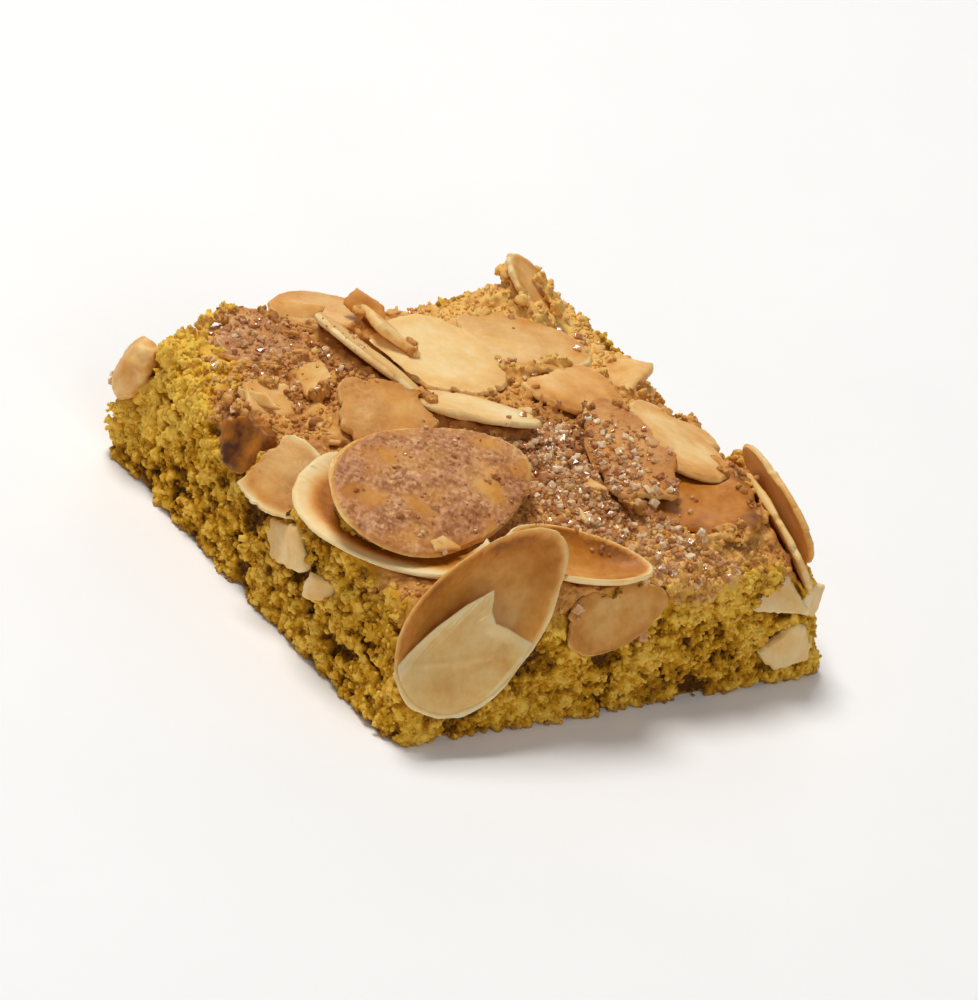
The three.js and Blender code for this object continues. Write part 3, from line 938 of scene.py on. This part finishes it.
def make_grains(name, surface, most, radii, tree, on_crust):
    """Fine grains all over the open crumb, or all over the crust."""
    places, outward = scattered(*surface, 4 * most)
    wanted = (places[:, 2] > LOWEST_CRUMB) & ~covered(places, *GRAIN_CLEAR)
    wanted &= (dough_numbers(places, tree)["crust"] > 0.5) == on_crust
    places, outward = places[wanted][:most], outward[wanted][:most]
    unit, faces = ball(1)
    radius, scales = random_sizes(radii, len(places), *GRAIN_SIZES)
    centres = places + outward * (0.15 * radius)[:, None]
    numbers = dough_numbers(centres, tree)
    numbers["proud"] += rng.normal(0, 0.2, len(places))
    numbers["brown"] = np.clip(numbers["brown"] + rng.normal(0, 0.15, len(places)), 0, 1)
    numbers = {label: np.repeat(values, len(unit)) for label, values in numbers.items()}
    points, faces = many(lumpy(unit, len(places)), faces, centres, scales)
    points[:, 2] = np.maximum(points[:, 2], 0)
    piece(name, points, faces, dough, "dough", **numbers)


def make_crumbs(tree, dough_faces):
    """Baked crumbs that lie on the crust."""
    places, facing, index = landed(tree, CRUMB_PATCHES, *CRUMB_LEAST)
    places, facing = places[index < dough_faces], facing[index < dough_faces]
    unit, faces = ball(2)
    radius, scales = random_sizes(CRUMB_RADIUS, len(places), *CRUMB_SIZES)
    shapes = lumpy(unit, len(places), 0.13)
    points = many(shapes, faces, places - facing * (0.1 * radius)[:, None], scales)
    brown = np.repeat(rng.uniform(*CRUMB_BROWN, len(places)), len(unit))
    plain = np.zeros(len(brown))
    numbers = dict(proud=plain, crust=plain + 1, brown=brown, skin=plain)
    piece("crust_crumbs", *points, dough, "dough", **numbers)


# Sugar


def crystal():
    """A small block with its edges cut off, as sugar grows, with its triangles in a fixed order."""
    shape = bmesh.new()
    bmesh.ops.create_cube(shape, size=1.6)
    bmesh.ops.bevel(shape, geom=shape.edges[:], offset=0.25, segments=1, affect="EDGES")
    bmesh.ops.triangulate(shape, faces=shape.faces)
    points, triangles = taken_from(shape)
    return points, triangles[np.lexsort(triangles.T)]


def make_sugar(tree, sticky):
    """Sugar on the dough and on glazed slices: crystals, thick in some patches, and finer grains."""
    large = [tree.find_nearest(place)[:2] for place in LARGE_CRYSTALS]
    fallen = []
    for patches in (SUGAR_PATCHES, DUST_PATCHES):
        places, facing, index = landed(tree, patches, *SUGAR_LEAST)
        stays = rng.random(len(index)) < sticky[index]
        fallen.append((places[stays], facing[stays]))
    bodies, shades = [], []
    for (places, facing), radii, (unit, faces), shade in (
        (np.moveaxis(np.array(large), 1, 0), LARGE_CRYSTAL_RADIUS, crystal(), LARGE_CRYSTAL_SHADE),
        (fallen[0], SUGAR_RADIUS, crystal(), SUGAR_SHADE),
        (fallen[1], DUST_RADIUS, ball(1), DUST_SHADE),
    ):
        radius, scales = random_sizes(radii, len(places), *CRYSTAL_SIZES)
        shapes = unit * rng.uniform(0.75, 1.15, (len(places), len(unit), 1))
        bodies.append(many(shapes, faces, places + facing * (0.15 * radius)[:, None], scales))
        shades.append(np.repeat(between(shade, rng.random(len(places)) ** 1.5), len(unit)))
    shade = np.concatenate(shades)
    piece("sugar_crystals", *joined(bodies), sugar, "sugar", smooth=False, shade=shade)


# Materials


def new_material(name):
    """A material, and two functions: one adds a node and gives an output of it, and the other sets
    the shader's inputs."""
    material = bpy.data.materials.new(name)
    material.use_nodes = True
    tree = material.node_tree

    def set_inputs(node, inputs):
        for label, value in inputs.items():
            if isinstance(value, bpy.types.NodeSocket):
                tree.links.new(value, node.inputs[label])
            else:
                node.inputs[label].default_value = value

    def add(kind, inputs=(), output=0, **settings):
        node = tree.nodes.new("ShaderNode" + kind)
        for label, value in settings.items():
            setattr(node, label, value)
        set_inputs(node, dict(inputs))
        return node.outputs[output]

    def shade(inputs):
        set_inputs(tree.nodes["Principled BSDF"], inputs)

    return material, add, shade


def colour(red, green, blue):
    """A colour from the 0 to 255 of a screen, as the light that it stands for."""
    shares = np.array([red, green, blue]) / 255
    light = np.where(shares <= 0.04045, shares / 12.92, ((shares + 0.055) / 1.055) ** 2.4)
    return (*light, 1)


def ramp(add, factor, stops):
    """Colours along a factor, each stop being a place and a colour."""
    shown = add("ValToRGB", {"Fac": factor})
    elements = shown.node.color_ramp.elements
    while len(elements) < len(stops):
        elements.new(0.5)
    for element, (place, stop) in zip(elements, stops):
        element.position = place
        element.color = stop
    return shown


def carried(add, name):
    """A number that each point of a piece carries."""
    return add("Attribute", output="Fac", attribute_name=name)


def spots(add, size, detail=3.0, roughness=0.6):
    """Noise with waves of about the given size in millimetres, from 0 to 1."""
    place = add("TexCoord", output="Object")
    inputs = {"Vector": place, "Scale": 1 / (size * MM), "Detail": detail, "Roughness": roughness}
    return add("TexNoise", inputs)


def cells(add, size):
    """A random number for each cell of about the given size in millimetres, from 0 to 1."""
    place = add("TexCoord", output="Object")
    return add("TexVoronoi", {"Vector": place, "Scale": 1 / (size * MM)}, "Color")


def varied(add, value, noise_value, share):
    """A number plus a share of how far the noise is from a half."""
    middle = add("Math", {0: noise_value, 1: 0.5}, operation="SUBTRACT")
    return add("Math", {0: middle, 1: share, 2: value}, operation="MULTIPLY_ADD")


def mixed(add, factor, first, second):
    """The first colour where the factor is 0 and the second where it is 1."""
    return add("Mix", {0: factor, 6: first, 7: second}, 2, data_type="RGBA")


def under_skin(weight, radius, depth):
    """Shader inputs for light that passes under the surface, to a depth in millimetres."""
    return {"Subsurface Weight": weight, "Subsurface Radius": radius, "Subsurface Scale": depth * MM}


def dough_material():
    """Yellow crumb, with painted shade in its gaps and painted light on its clumps, a baked crust on
    top and a tan skin at the base.
    """
    material, add, shade = new_material("dough")
    # Painted shade and light: the crumb is darker the deeper it lies and lighter the prouder it stands
    reach = {"Value": carried(add, "proud"), "From Min": -0.75, "From Max": 0.5}
    proud = add("MapRange", reach)
    proud = varied(add, varied(add, proud, spots(add, 1.1), 0.7), spots(add, 5.0), 0.4)
    crumb = ramp(add, varied(add, proud, cells(add, 0.9), 0.5), [
        (0.08, colour(92, 52, 0)),
        (0.4, colour(168, 114, 6)),
        (0.68, colour(214, 156, 24)),
        (0.96, colour(244, 198, 80)),
    ])
    brown = varied(add, carried(add, "brown"), spots(add, 1.6, 4.0), 0.7)
    crust = ramp(add, varied(add, brown, cells(add, 0.6), 0.3), [
        (0, colour(246, 198, 110)),
        (0.32, colour(224, 162, 80)),
        (0.65, colour(182, 116, 54)),
        (0.95, colour(112, 64, 28)),
    ])
    base = mixed(add, carried(add, "crust"), crumb, crust)
    skin = ramp(add, spots(add, 2.2), [(0.3, colour(150, 104, 40)), (0.7, colour(200, 150, 74))])
    base = mixed(add, carried(add, "skin"), base, skin)
    grain = add("Bump", {"Height": spots(add, 0.3, 4.0, 0.7), "Strength": 0.8, "Distance": 0.16 * MM})
    gloss = add("MapRange", {"Value": carried(add, "crust"), "To Min": 0.85, "To Max": 0.55})
    shade({
        "Base Color": base,
        "Roughness": gloss,
        "Normal": grain,
        **under_skin(0.08, (1.0, 0.6, 0.15), 0.7),
        "Specular IOR Level": 0.25,
    })
    return material


def almond_material():
    """Toasted almond: cream to brown, with fine ridges, a satin gloss and a coat of brown sugar."""
    material, add, shade = new_material("almond")
    # The tone that each piece carries holds some painted shade and painted highlight as well as toasting
    tone = varied(add, varied(add, carried(add, "tone"), spots(add, 0.9, 4.0), 0.3), spots(add, 3.2), 0.25)
    nut = ramp(add, tone, [
        (0, colour(246, 221, 168)),
        (0.25, colour(239, 195, 124)),
        (0.5, colour(220, 156, 74)),
        (0.75, colour(186, 113, 27)),
        (1, colour(78, 38, 12)),
    ])
    coat = ramp(add, varied(add, spots(add, 1.8, 5.0, 0.65), cells(add, 0.35), 0.4), [
        (0.25, colour(150, 90, 50)),
        (0.5, colour(192, 132, 84)),
        (0.75, colour(222, 172, 122)),
    ])
    base = mixed(add, carried(add, "glaze"), nut, coat)
    grain = add("Bump", {"Height": spots(add, 0.3, 4.0), "Strength": 0.35, "Distance": 0.1 * MM})
    gloss = {"Value": spots(add, 2.5), "From Min": 0.3, "From Max": 0.7, "To Min": 0.32, "To Max": 0.55}
    shade({
        "Base Color": base,
        "Roughness": add("MapRange", gloss),
        "Normal": grain,
        **under_skin(0.3, (1.0, 0.75, 0.5), 1.2),
        "Specular IOR Level": 0.24,
    })
    return material


def sugar_material():
    """Cloudy crystals, from amber to cream."""
    material, add, shade = new_material("sugar")
    tint = ramp(add, varied(add, carried(add, "shade"), spots(add, 0.5), 0.3), [
        (0, colour(172, 110, 62)),
        (0.4, colour(208, 150, 96)),
        (0.75, colour(230, 186, 134)),
        (1, colour(248, 222, 184)),
    ])
    shade({
        "Base Color": tint,
        "Roughness": 0.12,
        "IOR": 1.54,
        **under_skin(0.4, (1.0, 0.9, 0.75), 0.6),
    })
    return material


def floor_material():
    """Matt white, with a faint grain."""
    material, add, shade = new_material("floor")
    paper = ramp(add, spots(add, 30.0), [(0.3, (0.96, 0.96, 0.96, 1)), (0.7, (0.98, 0.98, 0.98, 1))])
    shade({"Base Color": paper, "Roughness": 0.7, "Specular IOR Level": 0.1})
    return material


# Stage, light and camera


def make_stage():
    """A pale floor under the biscuit."""
    corners = FLOOR_HALF * np.array([(-1, -1, 0), (1, -1, 0), (1, 1, 0), (-1, 1, 0)])
    mesh = mesh_of("floor", corners - (0, 0, FLOOR_GAP), np.array([[0, 1, 2, 3]]))
    mesh.materials.append(floor_material())
    floor = linked("floor", mesh)


def make_light():
    """Pale surroundings, a soft lamp overhead, one in front, and a weak one behind for a sheen."""
    world = bpy.data.worlds.new("studio")
    world.use_nodes = True
    background = world.node_tree.nodes["Background"].inputs
    background["Color"].default_value = (1, 1, 1, 1)
    background["Strength"].default_value = WORLD_LIGHT
    bpy.context.scene.world = world
    for name, towards, distance, size, power, tint in LAMPS:
        lamp = bpy.data.lights.new(name, "AREA")
        lamp.shape = "DISK"
        lamp.size = size
        lamp.energy = power
        lamp.color = tint
        direction = Vector(towards).normalized()
        obj = linked(name, lamp)
        obj.location = direction * distance
        obj.rotation_euler = direction.to_track_quat("Z", "Y").to_euler()
    bpy.context.scene.view_settings.view_transform = "Standard"


def make_camera():
    """The camera, aimed at the biscuit's middle."""
    place, aim = Vector(CAMERA_PLACE) * MM, Vector(CAMERA_AIM) * MM
    back = (place - aim).normalized()
    right = Vector(CAMERA_UP).cross(back).normalized()
    up = back.cross(right)
    data = bpy.data.cameras.new("camera")
    data.lens = LENS
    data.sensor_width = SENSOR
    obj = linked("camera", data)
    obj.matrix_world = Matrix.Translation(place) @ Matrix((right, up, back)).transposed().to_4x4()
    bpy.context.scene.camera = obj


dough = dough_material()
almond = almond_material()
sugar = sugar_material()

make_stage()
make_light()
make_camera()
crumb_piece = make_dough()
flake_pieces = [make_flake(number, shape) for number, shape in enumerate(FLAKES, 1)]
make_film(FLAKES[0], flake_pieces[0])
bits_piece = make_broken("almond_bits", BITS + far_bits(), BIT_TRIANGLES)
carriers = [arrays_of(obj.data) for obj in (crumb_piece, *flake_pieces, bits_piece)]
surface, corners = joined(carriers)
top = BVHTree.FromPolygons(surface.tolist(), corners.tolist())
dough_faces = len(carriers[0][1])
make_slivers(top, dough_faces)
make_crumbs(top, dough_faces)
holds = [1.0, *(max(shape.get("glaze", 0), ON_BARE_ALMOND) for shape in FLAKES), ON_BARE_ALMOND]
make_sugar(top, np.repeat(holds, [len(faces) for _, faces in carriers]))
